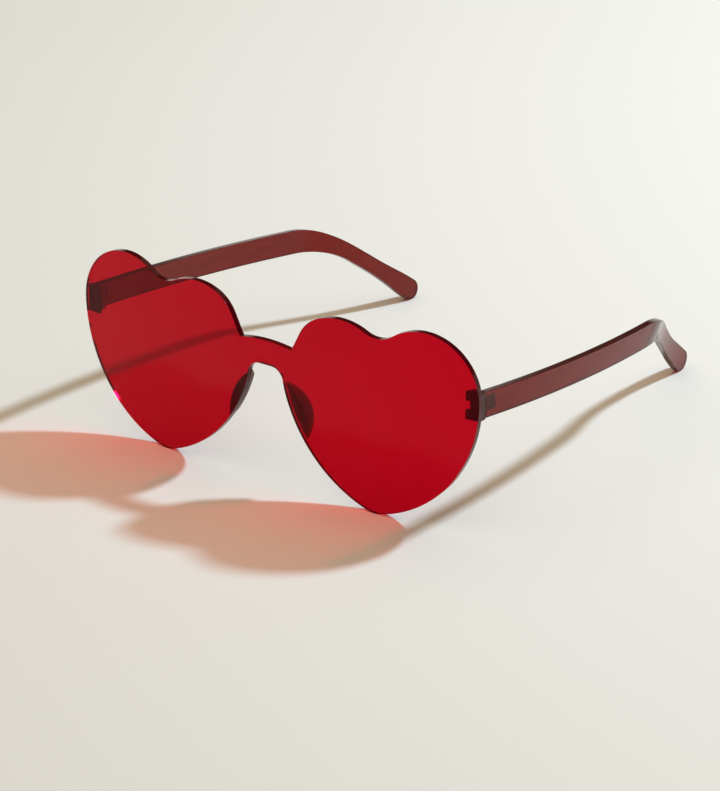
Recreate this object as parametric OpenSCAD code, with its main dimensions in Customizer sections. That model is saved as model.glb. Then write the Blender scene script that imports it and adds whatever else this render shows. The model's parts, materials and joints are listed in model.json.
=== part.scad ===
// Heart shaped rimless sunglasses.
// One curved tinted shield carries nose pads, end pieces and two folding temples.
// Millimetres. +X is the wearer's left, +Y points from the shield to the temple tips, +Z is up.
// The heart tips and the temple tips stand on z = 0, and the origin is the middle of the footprint.

/* [Lens shield] */
// Thickness of the one-piece shield
lens_t = 2; // [1.5:0.1:3]
// Radius of the shield's front face, seen from above
wrap_r = 700; // [500:10:1200]
// Angle by which the shield leans back from upright
lens_lean = 2.4; // [0:0.1:5]
// Distance of the inner lobe's centre from the middle plane
inner_lobe_x = 26.8; // [26:0.1:28]
// Height of the inner lobe's centre above the tip
inner_lobe_z = 36.3; // [34.5:0.1:38]
// Radius of the inner lobe
inner_lobe_r = 20.5; // [19:0.1:21.5]
// Radius of the shoulder from the inner lobe down to the bridge
shoulder_r = 12.4; // [10:0.1:14]
// Distance of the outer lobe's centre from the middle plane
outer_lobe_x = 55.7; // [54:0.1:58]
// Height of the outer lobe's centre above the tip
outer_lobe_z = 40.6; // [39:0.1:42]
// Radius of the outer lobe
outer_lobe_r = 18.3; // [17:0.1:19.5]
// Direction from the inner lobe's centre to the start of the shoulder
shoulder_angle = 112; // [106:1:118]
// Radius of the hollow between the two lobes
cleft_r = 9.2; // [7:0.1:12]
// Distance of the heart's tip from the middle plane
tip_x = 39.8; // [38:0.1:42]
// Radius of the heart's tip
tip_r = 8.9; // [6:0.1:10]
// Radius of the flank from the tip up to the outer lobe
outer_flank_r = 42; // [38:0.5:50]
// Radius of the flank from the tip up to the inner lobe
inner_flank_r = 45.7; // [42:0.1:55]

/* [Bridge] */
// Height of the bridge's top edge above the heart tips
bridge_top_z = 44.4; // [43:0.1:47]
// Radius of the bridge's top edge
bridge_top_r = 51; // [30:1:80]
// Distance from the middle plane to the corner where the bridge's top edge meets a heart
bridge_half_w = 9.6; // [8.5:0.1:10.5]
// Height of the nose arch's crown above the heart tips
arch_top_z = 36.8; // [35.5:0.1:38]
// Radius of the nose arch's two corners
arch_corner_r = 4.4; // [3:0.1:5]

/* [Nose pads] */
// Length of a pad along the edge of the shield
pad_l = 19; // [14:0.5:20]
// Greatest width of a pad's foot on the shield
pad_w = 3.7; // [3:0.1:5]
// Greatest distance that a pad stands out behind the shield
pad_depth = 4.4; // [3:0.1:5.5]
// Depth of a pad's foot, up to the edge where its bearing face starts
pad_foot_depth = 2.4; // [1:0.1:2.8]
// Angle at which the foot spreads away from the nose
pad_foot_flare = 12; // [5:1:20]
// Angle at which a pad's bearing face spreads away from the nose
pad_flare = 49; // [30:1:55]
// Height of a pad's middle above the heart tips
pad_mid_z = 24.2; // [23:0.1:25]
// Distance of a pad's root from the shield's edge
pad_inset = 0.1; // [0:0.1:1]

/* [End pieces] */
// Distance from the shield's outermost edge in to the end piece's outer face
side_inset = 0.5; // [0.3:0.1:1]
// Height of the outer lobe's centre above the middle of the hinge
hinge_drop = 0.9; // [0:0.1:2]
// Height of the end piece
end_h = 8.4; // [8:0.1:10]
// Depth of the end piece behind the shield at its outer face
end_depth = 1.8; // [1.5:0.1:3]
// Width of the end piece's foot on the shield
end_foot_w = 4.8; // [4.4:0.1:6.5]
// Thickness of the foot's inner rim
foot_rim_t = 0.9; // [0.6:0.1:1.2]
// How far the notch for the temple's barrel cuts into the foot
notch_depth = 1.6; // [1.2:0.1:2]

/* [Hinges] */
// Outer radius of a hinge barrel
barrel_r = 1.1; // [1:0.05:1.3]
// Radius of the hinge screw's shank
screw_r = 0.6; // [0.5:0.05:0.7]
// Height of each of the two barrels on the end piece
outer_barrel_h = 2; // [1.6:0.1:2.2]
// Height of the temple's barrel between them
mid_barrel_h = 2.6; // [2:0.1:2.8]
// Thickness of the hinge leaves
leaf_t = 0.7; // [0.5:0.05:0.8]
// Length of the leaf that is moulded into the temple
temple_leaf_l = 4.8; // [4:0.1:7]
// Height of the leaf that is moulded into the temple
temple_leaf_h = 4.4; // [3:0.1:5]
// Radius of the hinge screw's head
screw_head_r = 1; // [0.9:0.05:1.2]
// Height of the hinge screw's head
screw_head_h = 0.6; // [0.4:0.1:0.8]

/* [Temples] */
// Thickness of a temple
temple_t = 2.2; // [2:0.1:2.6]
// Height of a temple at the hinge
temple_front_h = 7.7; // [7:0.1:8.2]
// Height of a temple where the bend starts
temple_bend_h = 7.6; // [6.5:0.1:9]
// Height of a temple's neck after the bend
temple_neck_h = 5.2; // [4.5:0.1:7]
// Radius of the round temple tip
temple_tip_r = 3.5; // [3:0.1:4.5]
// Length of a temple from the hinge to the start of the bend
temple_run = 89.5; // [80:0.5:95]
// Radius of the bend, along the middle of the temple
temple_bend_r = 38.5; // [30:0.5:50]
// Downward slope of the temple's straight run
run_slope = 6.1; // [4:0.1:7]
// Downward slope of the temple's drop behind the ear
drop_slope = 39.5; // [36:0.5:48]
// Radius of the temple's inward bow, up to the bend
bow_r = 291; // [240:1:400]
// Angle at which the bow leaves the hinge outward
bow_start = 4.6; // [1:0.1:5]
// Radius of the tuck that turns the temple inward behind the ear
tuck_r = 34; // [25:1:60]
// Angle by which the tuck turns the temple inward
tuck_angle = 16; // [8:1:20]
// Radius of the flare that turns the tip back outward
flare_r = 127; // [100:1:200]

/* [Fits] */
// Gap that the glue fills behind the shield
bond_gap = 0.05; // [0.02:0.01:0.1]
// Gap around a leaf that is moulded in plastic
mould_gap = 0.05; // [0.02:0.01:0.1]
// Gap between the end piece and the temple
joint_gap = 0.16; // [0.1:0.01:0.3]
// Gap all round between the screw and the barrels
screw_gap = 0.05; // [0.02:0.01:0.1]
// Gap between the barrels, end to end
barrel_gap = 0.1; // [0.05:0.01:0.2]
// Gap between a barrel and the temple's inner face
barrel_side_gap = 0.25; // [0.2:0.01:0.4]
// Gap around the temple's barrel in the notch
notch_gap = 0.2; // [0.1:0.01:0.3]

/* [Hidden] */

// Colours of the shield, of the other plastic and of the hinge metal
lens_color = "#b4001e";
frame_color = "#6e2a2c";
metal_color = "#8f8f94";

// Small round surfaces and the large curved shells are drawn this finely
$fn = 96;
shell_fn = 720;
// Largest turn between two points of an arc, in degrees
arc_step = 4;

// Helpers for outlines made of arcs that run into each other
function unit(v) = v / norm(v);
function side_of(v) = [-v[1], v[0]];
function angle_at(c, p) = atan2(p[1] - c[1], p[0] - c[0]);
// Centre that lies r1 from c1 and r2 from c2, on the left of the way from c1 to c2
function meet(c1, r1, c2, r2) =
    let (d = norm(c2 - c1), a = (r1 * r1 - r2 * r2 + d * d) / (2 * d), u = unit(c2 - c1))
    c1 + a * u + sqrt(r1 * r1 - a * a) * side_of(u);
// Point at which a line from p touches a circle, on the circle's left as seen from p
function touch(p, c, r) =
    let (d = norm(c - p), u = unit(c - p), l = sqrt(d * d - r * r))
    p + l * (l / d * u + r / d * side_of(u));
// Points from p to q around c, without q; turn is 1 for anticlockwise
function arc(c, p, q, turn) =
    let (
        from = angle_at(c, p),
        to = angle_at(c, q),
        sweep = turn * ((turn * (to - from) % 360 + 360) % 360),
        n = ceil(abs(sweep) / arc_step)
    )
    [for (i = [0:n - 1]) c + norm(p - c) * [cos(from + sweep * i / n), sin(from + sweep * i / n)]];

// Centres of the arcs that make up one heart, in the shield's own plane
inner_lobe = [inner_lobe_x, inner_lobe_z];
outer_lobe = [outer_lobe_x, outer_lobe_z];
heart_tip = [tip_x, tip_r];
cleft = meet(inner_lobe, inner_lobe_r + cleft_r, outer_lobe, outer_lobe_r + cleft_r);
outer_flank = meet(heart_tip, outer_flank_r - tip_r, outer_lobe, outer_flank_r - outer_lobe_r);
inner_flank = meet(inner_lobe, inner_flank_r - inner_lobe_r, heart_tip, inner_flank_r - tip_r);

// Points where those arcs run into each other
tip_to_flank = heart_tip + tip_r * unit(heart_tip - outer_flank);
flank_to_outer = outer_lobe + outer_lobe_r * unit(outer_lobe - outer_flank);
outer_to_cleft = outer_lobe + outer_lobe_r * unit(cleft - outer_lobe);
cleft_to_inner = inner_lobe + inner_lobe_r * unit(cleft - inner_lobe);
inner_to_flank = inner_lobe + inner_lobe_r * unit(inner_lobe - inner_flank);
flank_to_tip = heart_tip + tip_r * unit(heart_tip - inner_flank);

// The shoulder leaves the inner lobe and runs straight down to the bridge's top corner
shoulder_dir = [cos(shoulder_angle), sin(shoulder_angle)];
shoulder = inner_lobe + (inner_lobe_r - shoulder_r) * shoulder_dir;
bridge_top = [0, bridge_top_z - bridge_top_r];
bridge_rise = sqrt(bridge_top_r * bridge_top_r - bridge_half_w * bridge_half_w);
bridge_corner = bridge_top + [bridge_half_w, bridge_rise];
shoulder_foot = touch(bridge_corner, shoulder, shoulder_r);

// The nose arch has a flat crown, and its round corners run into the inner lobes
arch_base_z = arch_top_z - arch_corner_r;
arch_drop = inner_lobe_z - arch_base_z;
arch_reach = inner_lobe_r + arch_corner_r;
arch_corner = [inner_lobe_x - sqrt(arch_reach * arch_reach - arch_drop * arch_drop), arch_base_z];
arch_to_lobe = inner_lobe + inner_lobe_r * unit(arch_corner - inner_lobe);

// Half the shield's outline, from the nose arch round one heart to the middle of the bridge
half_points = concat(
    arc(arch_corner, [arch_corner[0], arch_top_z], arch_to_lobe, -1),
    arc(inner_lobe, arch_to_lobe, inner_to_flank, 1),
    arc(inner_flank, inner_to_flank, flank_to_tip, 1),
    arc(heart_tip, flank_to_tip, tip_to_flank, 1),
    arc(outer_flank, tip_to_flank, flank_to_outer, 1),
    arc(outer_lobe, flank_to_outer, outer_to_cleft, 1),
    arc(cleft, outer_to_cleft, cleft_to_inner, -1),
    arc(inner_lobe, cleft_to_inner, inner_lobe + inner_lobe_r * shoulder_dir, 1),
    arc(shoulder, inner_lobe + inner_lobe_r * shoulder_dir, shoulder_foot, 1),
    [shoulder_foot],
    arc(bridge_top, bridge_corner, [0, bridge_top_z], 1)
);
function backward(list) = [for (i = [len(list) - 1:-1:0]) list[i]];
shield_points = concat(
    half_points,
    [[0, bridge_top_z]],
    [for (p = backward(half_points)) [-p[0], p[1]]]
);

// Depth of the shield's front face behind its foremost line, at a distance x from the middle
function sag(x) = wrap_r - sqrt(wrap_r * wrap_r - x * x);

// Foremost and lowest places that the leaning shield reaches from where its outline is drawn
shield_w = outer_lobe_x + outer_lobe_r;
shield_h = outer_lobe_z + outer_lobe_r;
lens_front = min([for (p = shield_points) sag(p[0]) * cos(lens_lean) + p[1] * sin(lens_lean)]);
lens_rise = max([for (p = shield_points) (sag(p[0]) + lens_t) * sin(lens_lean) - p[1] * cos(lens_lean)]);

// Places of the end piece and the hinge, from the shield's foremost line
side_x = shield_w - side_inset;
hinge_z = outer_lobe_z - hinge_drop;
end_front_y = (sag(side_x) + lens_t) * cos(lens_lean) + hinge_z * sin(lens_lean);
joint_y = end_front_y + end_depth;
hinge_x = side_x - temple_t - barrel_side_gap - barrel_r;
hinge_y = joint_y + joint_gap / 2;
temple_y = joint_y + joint_gap;
barrel_pitch = (mid_barrel_h + outer_barrel_h) / 2 + barrel_gap;
stack_h = mid_barrel_h + 2 * (outer_barrel_h + barrel_gap);

// Path of the temple's middle line, seen from the side, from the hinge to the tip's centre
bend_turn = drop_slope - run_slope;
bend_start = [temple_y, hinge_z] + temple_run * [cos(run_slope), -sin(run_slope)];
bend_centre = bend_start - temple_bend_r * [sin(run_slope), cos(run_slope)];
bend_end = bend_centre + temple_bend_r * [sin(drop_slope), cos(drop_slope)];
drop_l = (bend_end[1] - temple_tip_r) / sin(drop_slope);
tip_centre = bend_end + drop_l * [cos(drop_slope), -sin(drop_slope)];
bend_steps = ceil(bend_turn / arc_step);
// The neck keeps its height over this share of the drop, and then swells to the tip in so many steps
neck_share = 0.32;
swell_steps = 8;
swell_step_share = (1 - neck_share) / swell_steps;

// Half the temple's height along the bend and along the drop, with a smooth change between two values
function ease(share) = share * share * (3 - 2 * share);
function bend_half(share) = (temple_bend_h + (temple_neck_h - temple_bend_h) * ease(share)) / 2;
function drop_half(share) =
    let (swell = (share - neck_share) / (1 - neck_share))
    temple_neck_h / 2 + (temple_tip_r - temple_neck_h / 2) * ease(swell);
function bend_point(share, side) =
    let (a = run_slope + bend_turn * share)
    bend_centre + (temple_bend_r + side * bend_half(share)) * [sin(a), cos(a)];
function drop_point(share, side) =
    bend_end + share * drop_l * [cos(drop_slope), -sin(drop_slope)]
    + side * drop_half(share) * [sin(drop_slope), cos(drop_slope)];
function temple_edge(side) = concat(
    [[temple_y, hinge_z + side * temple_front_h / 2]],
    [for (i = [0:bend_steps]) bend_point(i / bend_steps, side)],
    [for (i = [0:swell_steps]) drop_point(neck_share + i * swell_step_share, side)]
);
temple_points = concat(
    temple_edge(1),
    arc(tip_centre, drop_point(1, 1), drop_point(1, -1), -1),
    backward(temple_edge(-1))
);

// The footprint runs from the shield's foremost place to the temple tips
middle_y = (lens_front + tip_centre[0] + temple_tip_r) / 2;

// Puts a shape that is drawn in the shield's own plane behind the shield's foremost line, leaning back
module on_shield() {
    translate([0, 0, lens_rise]) rotate([-lens_lean, 0, 0]) children();
}

// Puts the whole object over the middle of its footprint
module placed() {
    translate([0, -middle_y, 0]) children();
}

// Makes the wearer's right side from the left one
module on_side(side) {
    placed() mirror([side < 0 ? 1 : 0, 0, 0]) children();
}

// A flat outline in x and z, drawn out along y from y0 by a length
module along_y(y0, length) {
    translate([0, y0 + length, 0]) rotate([90, 0, 0]) linear_extrude(length) children();
}

// A flat outline in y and z, drawn out along x from x0 by a length
module along_x(x0, length) {
    translate([x0, 0, 0]) rotate([90, 0, 90]) linear_extrude(length) children();
}

// A block given by its low corner and its high corner
module block(low, high) {
    translate(low) cube(high - low);
}

// Upright round body that shares its axis with the shield's curve
module wrap_body(r) {
    translate([0, wrap_r, -shield_h]) cylinder(r = r, h = 3 * shield_h, $fn = shell_fn);
}

// Everything behind the plane that touches the shield's rear face at a distance x from the middle
module behind_shield(x) {
    rear_r = wrap_r - lens_t;
    on_shield()
        translate([x, wrap_r - sqrt(rear_r * rear_r - x * x), 0])
            rotate([0, 0, asin(x / rear_r)])
                block([-shield_w, bond_gap, -shield_h], [shield_w, shield_w, 2 * shield_h]);
}

module lens_shield() {
    color(lens_color) placed() on_shield() intersection() {
        along_y(-lens_t, 3 * lens_t + sag(shield_w)) polygon(shield_points);
        difference() {
            wrap_body(wrap_r);
            wrap_body(wrap_r - lens_t);
        }
    }
}

// Direction from the inner flank's centre to the middle of the pad
pad_drop = pad_mid_z - inner_flank[1];
pad_root = inner_flank_r - pad_inset;
pad_out = [-sqrt(pad_root * pad_root - pad_drop * pad_drop), pad_drop] / pad_root;
pad_spot = inner_flank + pad_root * pad_out;
pad_front_y = sag(abs(pad_spot[0])) + lens_t;

// Radius of an arc from its chord and its rise
function arc_r(chord, rise) = (chord * chord / 4 + rise * rise) / (2 * rise);
pad_bulge = pad_root - sqrt(pad_root * pad_root - pad_l * pad_l / 4);
pad_foot_r = arc_r(pad_l, pad_w - pad_bulge);
pad_rim_r = arc_r(pad_l, pad_depth);

// Cone that follows the flank, passes the pad's edge at a depth and spreads away from the nose
pad_edge_r = pad_root - pad_foot_depth * tan(pad_foot_flare);
module pad_cone(flare) {
    slope = tan(flare);
    translate([inner_flank[0], pad_front_y + pad_foot_depth - pad_depth, inner_flank[1]])
        rotate([-90, 0, 0])
            cylinder(
                r1 = pad_edge_r + slope * pad_depth,
                r2 = pad_edge_r - slope * pad_depth,
                h = 2 * pad_depth,
                $fn = shell_fn
            );
}

// Round body that gives the pad its curved rim, seen from the side
module pad_rim() {
    translate([pad_spot[0], pad_front_y + pad_depth - pad_rim_r, pad_spot[1]])
        rotate([0, atan2(pad_out[0], pad_out[1]), 0])
            cylinder(r = pad_rim_r, h = 2 * pad_l, center = true, $fn = shell_fn);
}

// Round body that gives the pad's foot its crescent shape
module pad_foot() {
    centre = pad_spot + (pad_foot_r - pad_w) * pad_out;
    translate([centre[0], pad_front_y, centre[1]])
        rotate([-90, 0, 0])
            cylinder(r = pad_foot_r, h = 4 * pad_depth, center = true, $fn = shell_fn);
}

module nose_pad(side) {
    color(frame_color) on_side(side) intersection() {
        on_shield() intersection() {
            pad_cone(pad_foot_flare);
            pad_cone(pad_flare);
            pad_rim();
            pad_foot();
        }
        behind_shield(abs(pad_spot[0]));
    }
}

// Wedge that carries the hinge: wide on the shield, as thin as the temple at the joint
foot_x = side_x - end_foot_w;
wedge_x = side_x - temple_t - barrel_side_gap;
end_low = hinge_z - end_h / 2;
end_plan = [
    [side_x, 0],
    [side_x, joint_y],
    [wedge_x, joint_y],
    [foot_x, end_front_y + foot_rim_t - sag(side_x) + sag(foot_x)],
    [foot_x, 0]
];

// The notch leaves room for the temple's barrel
notch_h = mid_barrel_h + 2 * barrel_gap;
module barrel_notch() {
    block(
        [foot_x - end_foot_w, 0, hinge_z - notch_h / 2],
        [foot_x + notch_depth, joint_y + end_depth, hinge_z + notch_h / 2]
    );
    translate([hinge_x, hinge_y, hinge_z])
        cylinder(r = barrel_r + notch_gap, h = notch_h, center = true);
}

module endpiece(side) {
    color(frame_color) on_side(side) difference() {
        intersection() {
            translate([0, 0, end_low]) linear_extrude(end_h) polygon(end_plan);
            behind_shield(side_x - end_foot_w / 2);
        }
        barrel_notch();
        front_leaf_body(mould_gap);
        translate([hinge_x, hinge_y, hinge_z]) cylinder(r = screw_head_r + notch_gap, h = end_h);
    }
}

// Two barrels on a plate that is moulded into the end piece; grow widens it all round for its pocket
plate_back_y = joint_y - leaf_t / 2;
plate_x = side_x - leaf_t;
module front_leaf_body(grow) {
    for (up = [-1, 1])
        translate([hinge_x, hinge_y, hinge_z + up * barrel_pitch])
            cylinder(r = barrel_r + grow, h = outer_barrel_h + 2 * grow, center = true);
    difference() {
        block(
            [hinge_x, plate_back_y - leaf_t - grow, hinge_z - stack_h / 2 - grow],
            [plate_x + grow, plate_back_y + grow, hinge_z + stack_h / 2 + grow]
        );
        translate([hinge_x, hinge_y, hinge_z])
            cylinder(r = barrel_r + notch_gap - grow, h = notch_h - 2 * grow, center = true);
    }
}

// Bore for the hinge screw through a stack of barrels
module screw_bore() {
    translate([hinge_x, hinge_y, hinge_z])
        cylinder(r = screw_r + screw_gap, h = 2 * stack_h, center = true);
}

module front_hinge_leaf(side) {
    color(metal_color) on_side(side) difference() {
        front_leaf_body(0);
        screw_bore();
    }
}

// One barrel on a leaf that is moulded into the temple; grow widens the leaf all round for its pocket
web_y = hinge_y + joint_gap / 2 + mould_gap;
leaf_x = side_x - temple_t / 2 - leaf_t / 2;
module temple_leaf_plate(grow) {
    block(
        [hinge_x, web_y - grow, hinge_z - mid_barrel_h / 2 - grow],
        [leaf_x + leaf_t + grow, web_y + leaf_t + grow, hinge_z + mid_barrel_h / 2 + grow]
    );
    block(
        [leaf_x - grow, web_y - grow, hinge_z - temple_leaf_h / 2 - grow],
        [leaf_x + leaf_t + grow, web_y + temple_leaf_l + grow, hinge_z + temple_leaf_h / 2 + grow]
    );
}

module temple_hinge_leaf(side) {
    color(metal_color) on_side(side) difference() {
        union() {
            translate([hinge_x, hinge_y, hinge_z])
                cylinder(r = barrel_r, h = mid_barrel_h, center = true);
            temple_leaf_plate(0);
        }
        screw_bore();
    }
}

// Screw with a slotted head on top of the stack
slot_share = 0.4;
module hinge_screw(side) {
    color(metal_color) on_side(side) translate([hinge_x, hinge_y, hinge_z + stack_h / 2]) difference() {
        union() {
            translate([0, 0, -stack_h]) cylinder(r = screw_r, h = stack_h + screw_head_h);
            translate([0, 0, screw_gap]) cylinder(r = screw_head_r, h = screw_head_h);
        }
        translate([0, 0, screw_head_h + screw_gap])
            cube([3 * screw_head_r, slot_share * screw_head_r, screw_head_h], center = true);
    }
}

// Plan of the temple's wall, seen square to the drop: x, and the distance from the hinge along the drop.
// The wall bows in up to the bend, the tuck turns it in behind the ear, and the flare turns the tip out.
function ray(angle) = [cos(angle), sin(angle)];
bow_centre = bow_r * [-cos(bow_start), sin(bow_start)];
tuck_from = asin((temple_run * cos(bend_turn) - bow_centre[1]) / bow_r);
tuck_centre = bow_centre + (bow_r - tuck_r) * ray(tuck_from);
flare_from = tuck_from + tuck_angle;
flare_centre = tuck_centre + (tuck_r + flare_r) * ray(flare_from);
wall_reach = temple_run + drop_l + temple_bend_r;

// Round wall of the temple's thickness around a centre of the plan
module wall_ring(centre, r) {
    translate([centre[0], centre[1], -wall_reach]) difference() {
        cylinder(r = r + temple_t / 2, h = 2 * wall_reach, $fn = shell_fn);
        cylinder(r = r - temple_t / 2, h = 2 * wall_reach, $fn = shell_fn);
    }
}

// Everything that lies past a ray from the tuck's centre, on the way to the tip
module past(angle) {
    translate(tuck_centre) rotate(angle)
        block([-wall_reach, 0, -wall_reach], [wall_reach, 2 * wall_reach, wall_reach]);
}

module temple_wall() {
    translate([side_x - temple_t / 2, temple_y, hinge_z]) rotate([-drop_slope, 0, 0]) {
        difference() {
            wall_ring(bow_centre, bow_r);
            past(tuck_from);
        }
        difference() {
            intersection() {
                wall_ring(tuck_centre, tuck_r);
                past(tuck_from);
            }
            past(flare_from);
        }
        intersection() {
            wall_ring(flare_centre, flare_r);
            past(flare_from);
        }
    }
}

module temple(side) {
    color(frame_color) on_side(side) difference() {
        intersection() {
            along_x(0, 2 * side_x) polygon(temple_points);
            temple_wall();
        }
        temple_leaf_plate(mould_gap);
    }
}

lens_shield();
nose_pad(1);  // nose_pad_left
nose_pad(-1);  // nose_pad_right
endpiece(1);  // endpiece_left
endpiece(-1);  // endpiece_right
front_hinge_leaf(1);  // front_hinge_leaf_left
front_hinge_leaf(-1);  // front_hinge_leaf_right
temple_hinge_leaf(1);  // temple_hinge_leaf_left
temple_hinge_leaf(-1);  // temple_hinge_leaf_right
hinge_screw(1);  // hinge_screw_left
hinge_screw(-1);  // hinge_screw_right
temple(1);  // temple_left
temple(-1);  // temple_right
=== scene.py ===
"""Heart shaped rimless sunglasses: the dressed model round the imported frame, in metres."""
import json
import logging
import math
from dataclasses import dataclass, field
from enum import Enum
from typing import Callable, Optional

import bmesh
import bpy
from mathutils import Matrix, Vector


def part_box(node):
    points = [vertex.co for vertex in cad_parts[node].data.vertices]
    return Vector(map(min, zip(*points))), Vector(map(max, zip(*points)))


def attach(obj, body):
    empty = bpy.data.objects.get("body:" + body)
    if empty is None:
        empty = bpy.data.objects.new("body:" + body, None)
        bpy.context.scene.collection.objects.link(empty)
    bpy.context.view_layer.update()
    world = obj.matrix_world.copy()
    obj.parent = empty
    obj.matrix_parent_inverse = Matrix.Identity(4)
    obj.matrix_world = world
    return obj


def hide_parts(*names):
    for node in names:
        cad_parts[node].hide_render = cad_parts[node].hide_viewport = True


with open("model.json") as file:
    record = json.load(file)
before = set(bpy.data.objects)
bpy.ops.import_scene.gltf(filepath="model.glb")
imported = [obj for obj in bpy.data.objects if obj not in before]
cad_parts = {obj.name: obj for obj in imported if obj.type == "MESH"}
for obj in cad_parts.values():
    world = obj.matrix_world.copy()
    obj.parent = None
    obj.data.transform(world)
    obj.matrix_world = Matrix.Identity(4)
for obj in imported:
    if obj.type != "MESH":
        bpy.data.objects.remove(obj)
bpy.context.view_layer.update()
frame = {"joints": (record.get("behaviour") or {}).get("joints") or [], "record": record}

LOG = logging.getLogger("sunglasses")
MM = 0.001
WELD = 0.002 * MM  # points nearer than this are one point
ARC_STEP = math.radians(2.0)  # largest turn between two points of an arc
SHARP = math.radians(32.0)  # an edge that turns more than this is rounded
CREASE = math.radians(40.0)  # an edge that turns more than this stays sharp in the shading
BACK = (-math.pi / 2, 0.0, 0.0)  # turns a drum's high end to the back
Point = tuple[float, float] | Vector


class Side(Enum):
    """The wearer's two sides, by their word in the names of nodes and pieces."""

    LEFT = "left"
    RIGHT = "right"


class Plane(Enum):
    """The views that outlines are drawn in, each by the axis about which u turns towards v."""

    FRONT = (0, -1, 0)
    SIDE = (1, 0, 0)
    PLAN = (0, 0, 1)

    def place(self, point: Point, depth: float = 0.0) -> Vector:
        """Puts a point of an outline in space.

        Args:
            point: The point in the view.
            depth: Its place along the axis that the view looks along.

        Returns:
            The point in the frame.
        """
        u, v = point
        if self is Plane.FRONT:
            return Vector((u, depth, v))
        if self is Plane.SIDE:
            return Vector((depth, u, v))
        return Vector((u, v, depth))


class Cut(Enum):
    """What a tool does to a solid, by Blender's word for it."""

    ADD = "UNION"
    TAKE = "DIFFERENCE"
    KEEP = "INTERSECT"


# Bench tools: selecting, editing and modifying meshes


def deselect_all() -> None:
    """Leaves nothing selected."""
    for obj in bpy.context.selected_objects:
        obj.select_set(False)


def pick(obj: bpy.types.Object) -> None:
    """Selects one object alone and makes it the active one.

    Args:
        obj: The object.
    """
    deselect_all()
    obj.select_set(True)
    bpy.context.view_layer.objects.active = obj


class Editing:
    """Edit mode on one object, for the length of a with block."""

    def __init__(self, obj: bpy.types.Object) -> None:
        """Keeps the object that is to be edited."""
        self.obj = obj

    def __enter__(self) -> "Editing":
        """Enters edit mode with everything selected."""
        pick(self.obj)
        bpy.ops.object.mode_set(mode="EDIT")
        bpy.ops.mesh.select_all(action="SELECT")
        return self

    def __exit__(self, *error: object) -> None:
        """Goes back to object mode."""
        bpy.ops.object.mode_set(mode="OBJECT")

    def choose(self, test: Callable[[bmesh.types.BMFace], bool]) -> int:
        """Selects the faces that pass a test, and nothing else.

        Args:
            test: Takes a face and says whether it is selected.

        Returns:
            How many faces are selected.
        """
        bpy.ops.mesh.select_all(action="DESELECT")
        bpy.ops.mesh.select_mode(type="FACE")
        found = [face for face in bmesh.from_edit_mesh(self.obj.data).faces if test(face)]
        for face in found:
            face.select_set(True)
        bmesh.update_edit_mesh(self.obj.data)
        return len(found)


def rename(obj: bpy.types.Object, name: str) -> bpy.types.Object:
    """Gives an object and its mesh the same name.

    Args:
        obj: The object.
        name: The name of both.

    Returns:
        The object.
    """
    obj.name = name
    obj.data.name = name
    return obj


def placed(name: str) -> bpy.types.Object:
    """Names the new primitive, and puts its place, turn and scale into its mesh.

    Args:
        name: The primitive's name.

    Returns:
        The primitive, with its object at the origin.
    """
    obj = rename(bpy.context.active_object, name)
    bpy.ops.object.transform_apply(location=True, rotation=True, scale=True)
    return obj


def turn_about_x(obj: bpy.types.Object, angle: float) -> None:
    """Turns a mesh about the frame's x axis; with no window the operator turns the other way."""
    with Editing(obj):
        bpy.ops.transform.rotate(value=-angle, orient_axis="X", center_override=(0, 0, 0))


def shift(obj: bpy.types.Object, way: Vector) -> None:
    """Moves a mesh, and leaves its object at the origin."""
    with Editing(obj):
        bpy.ops.transform.translate(value=way)


def corners(obj: bpy.types.Object) -> tuple[Vector, Vector]:
    """The lowest and highest corner of a mesh whose object is at the origin."""
    along = list(zip(*[v.co for v in obj.data.vertices]))
    return Vector([min(values) for values in along]), Vector([max(values) for values in along])


def modify(obj: bpy.types.Object, kind: str, **settings: object) -> None:
    """Adds a modifier and applies it.

    Args:
        obj: The object to be changed.
        kind: Blender's name of the modifier.
        settings: The modifier's values.
    """
    pick(obj)
    modifier = obj.modifiers.new(kind.lower(), kind)
    for key, value in settings.items():
        setattr(modifier, key, value)
    bpy.ops.object.modifier_apply(modifier=modifier.name)


def combine(obj: bpy.types.Object, tool: bpy.types.Object, cut: Cut) -> None:
    """Adds a tool to a solid, takes it away or keeps what both share, and removes the tool."""
    modify(obj, "BOOLEAN", object=tool, operation=cut.value, solver="EXACT")
    bpy.data.objects.remove(tool)


def round_edges(obj: bpy.types.Object, width: float, segments: int) -> None:
    """Rounds every sharp edge of a solid.

    Args:
        obj: The solid.
        width: How far the rounding reaches.
        segments: How many facets it has.
    """
    modify(
        obj, "BEVEL", width=width, segments=segments, limit_method="ANGLE", angle_limit=SHARP,
        use_clamp_overlap=True, miter_outer="MITER_ARC",
    )


def cut_off(obj: bpy.types.Object, point: Vector, normal: Vector) -> None:
    """Cuts a solid along a plane, closes the cut and drops what lies against the normal."""
    with Editing(obj):
        bpy.ops.mesh.bisect(plane_co=point, plane_no=normal, use_fill=True, clear_inner=True)


def melt(obj: bpy.types.Object, grain: float, passes: int) -> None:
    """Rounds every edge and corner of a small solid alike, as tumbling does.

    Args:
        obj: The solid.
        grain: The size of the cells that the solid is made anew from.
        passes: How often neighbouring points are drawn together.
    """
    modify(obj, "REMESH", mode="VOXEL", voxel_size=grain)
    modify(obj, "SMOOTH", factor=0.5, iterations=passes)


def face_outwards(obj: bpy.types.Object) -> None:
    """Merges doubles and points all faces outwards."""
    with Editing(obj):
        bpy.ops.mesh.remove_doubles(threshold=WELD)
        bpy.ops.mesh.normals_make_consistent(inside=False)


def smooth(obj: bpy.types.Object) -> None:
    """Shades a piece smooth but for its creases, and lets its large faces lead the shading."""
    pick(obj)
    bpy.ops.object.shade_smooth_by_angle(angle=CREASE)
    modify(obj, "WEIGHTED_NORMAL", mode="FACE_AREA", weight=60, keep_sharp=True)


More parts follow.
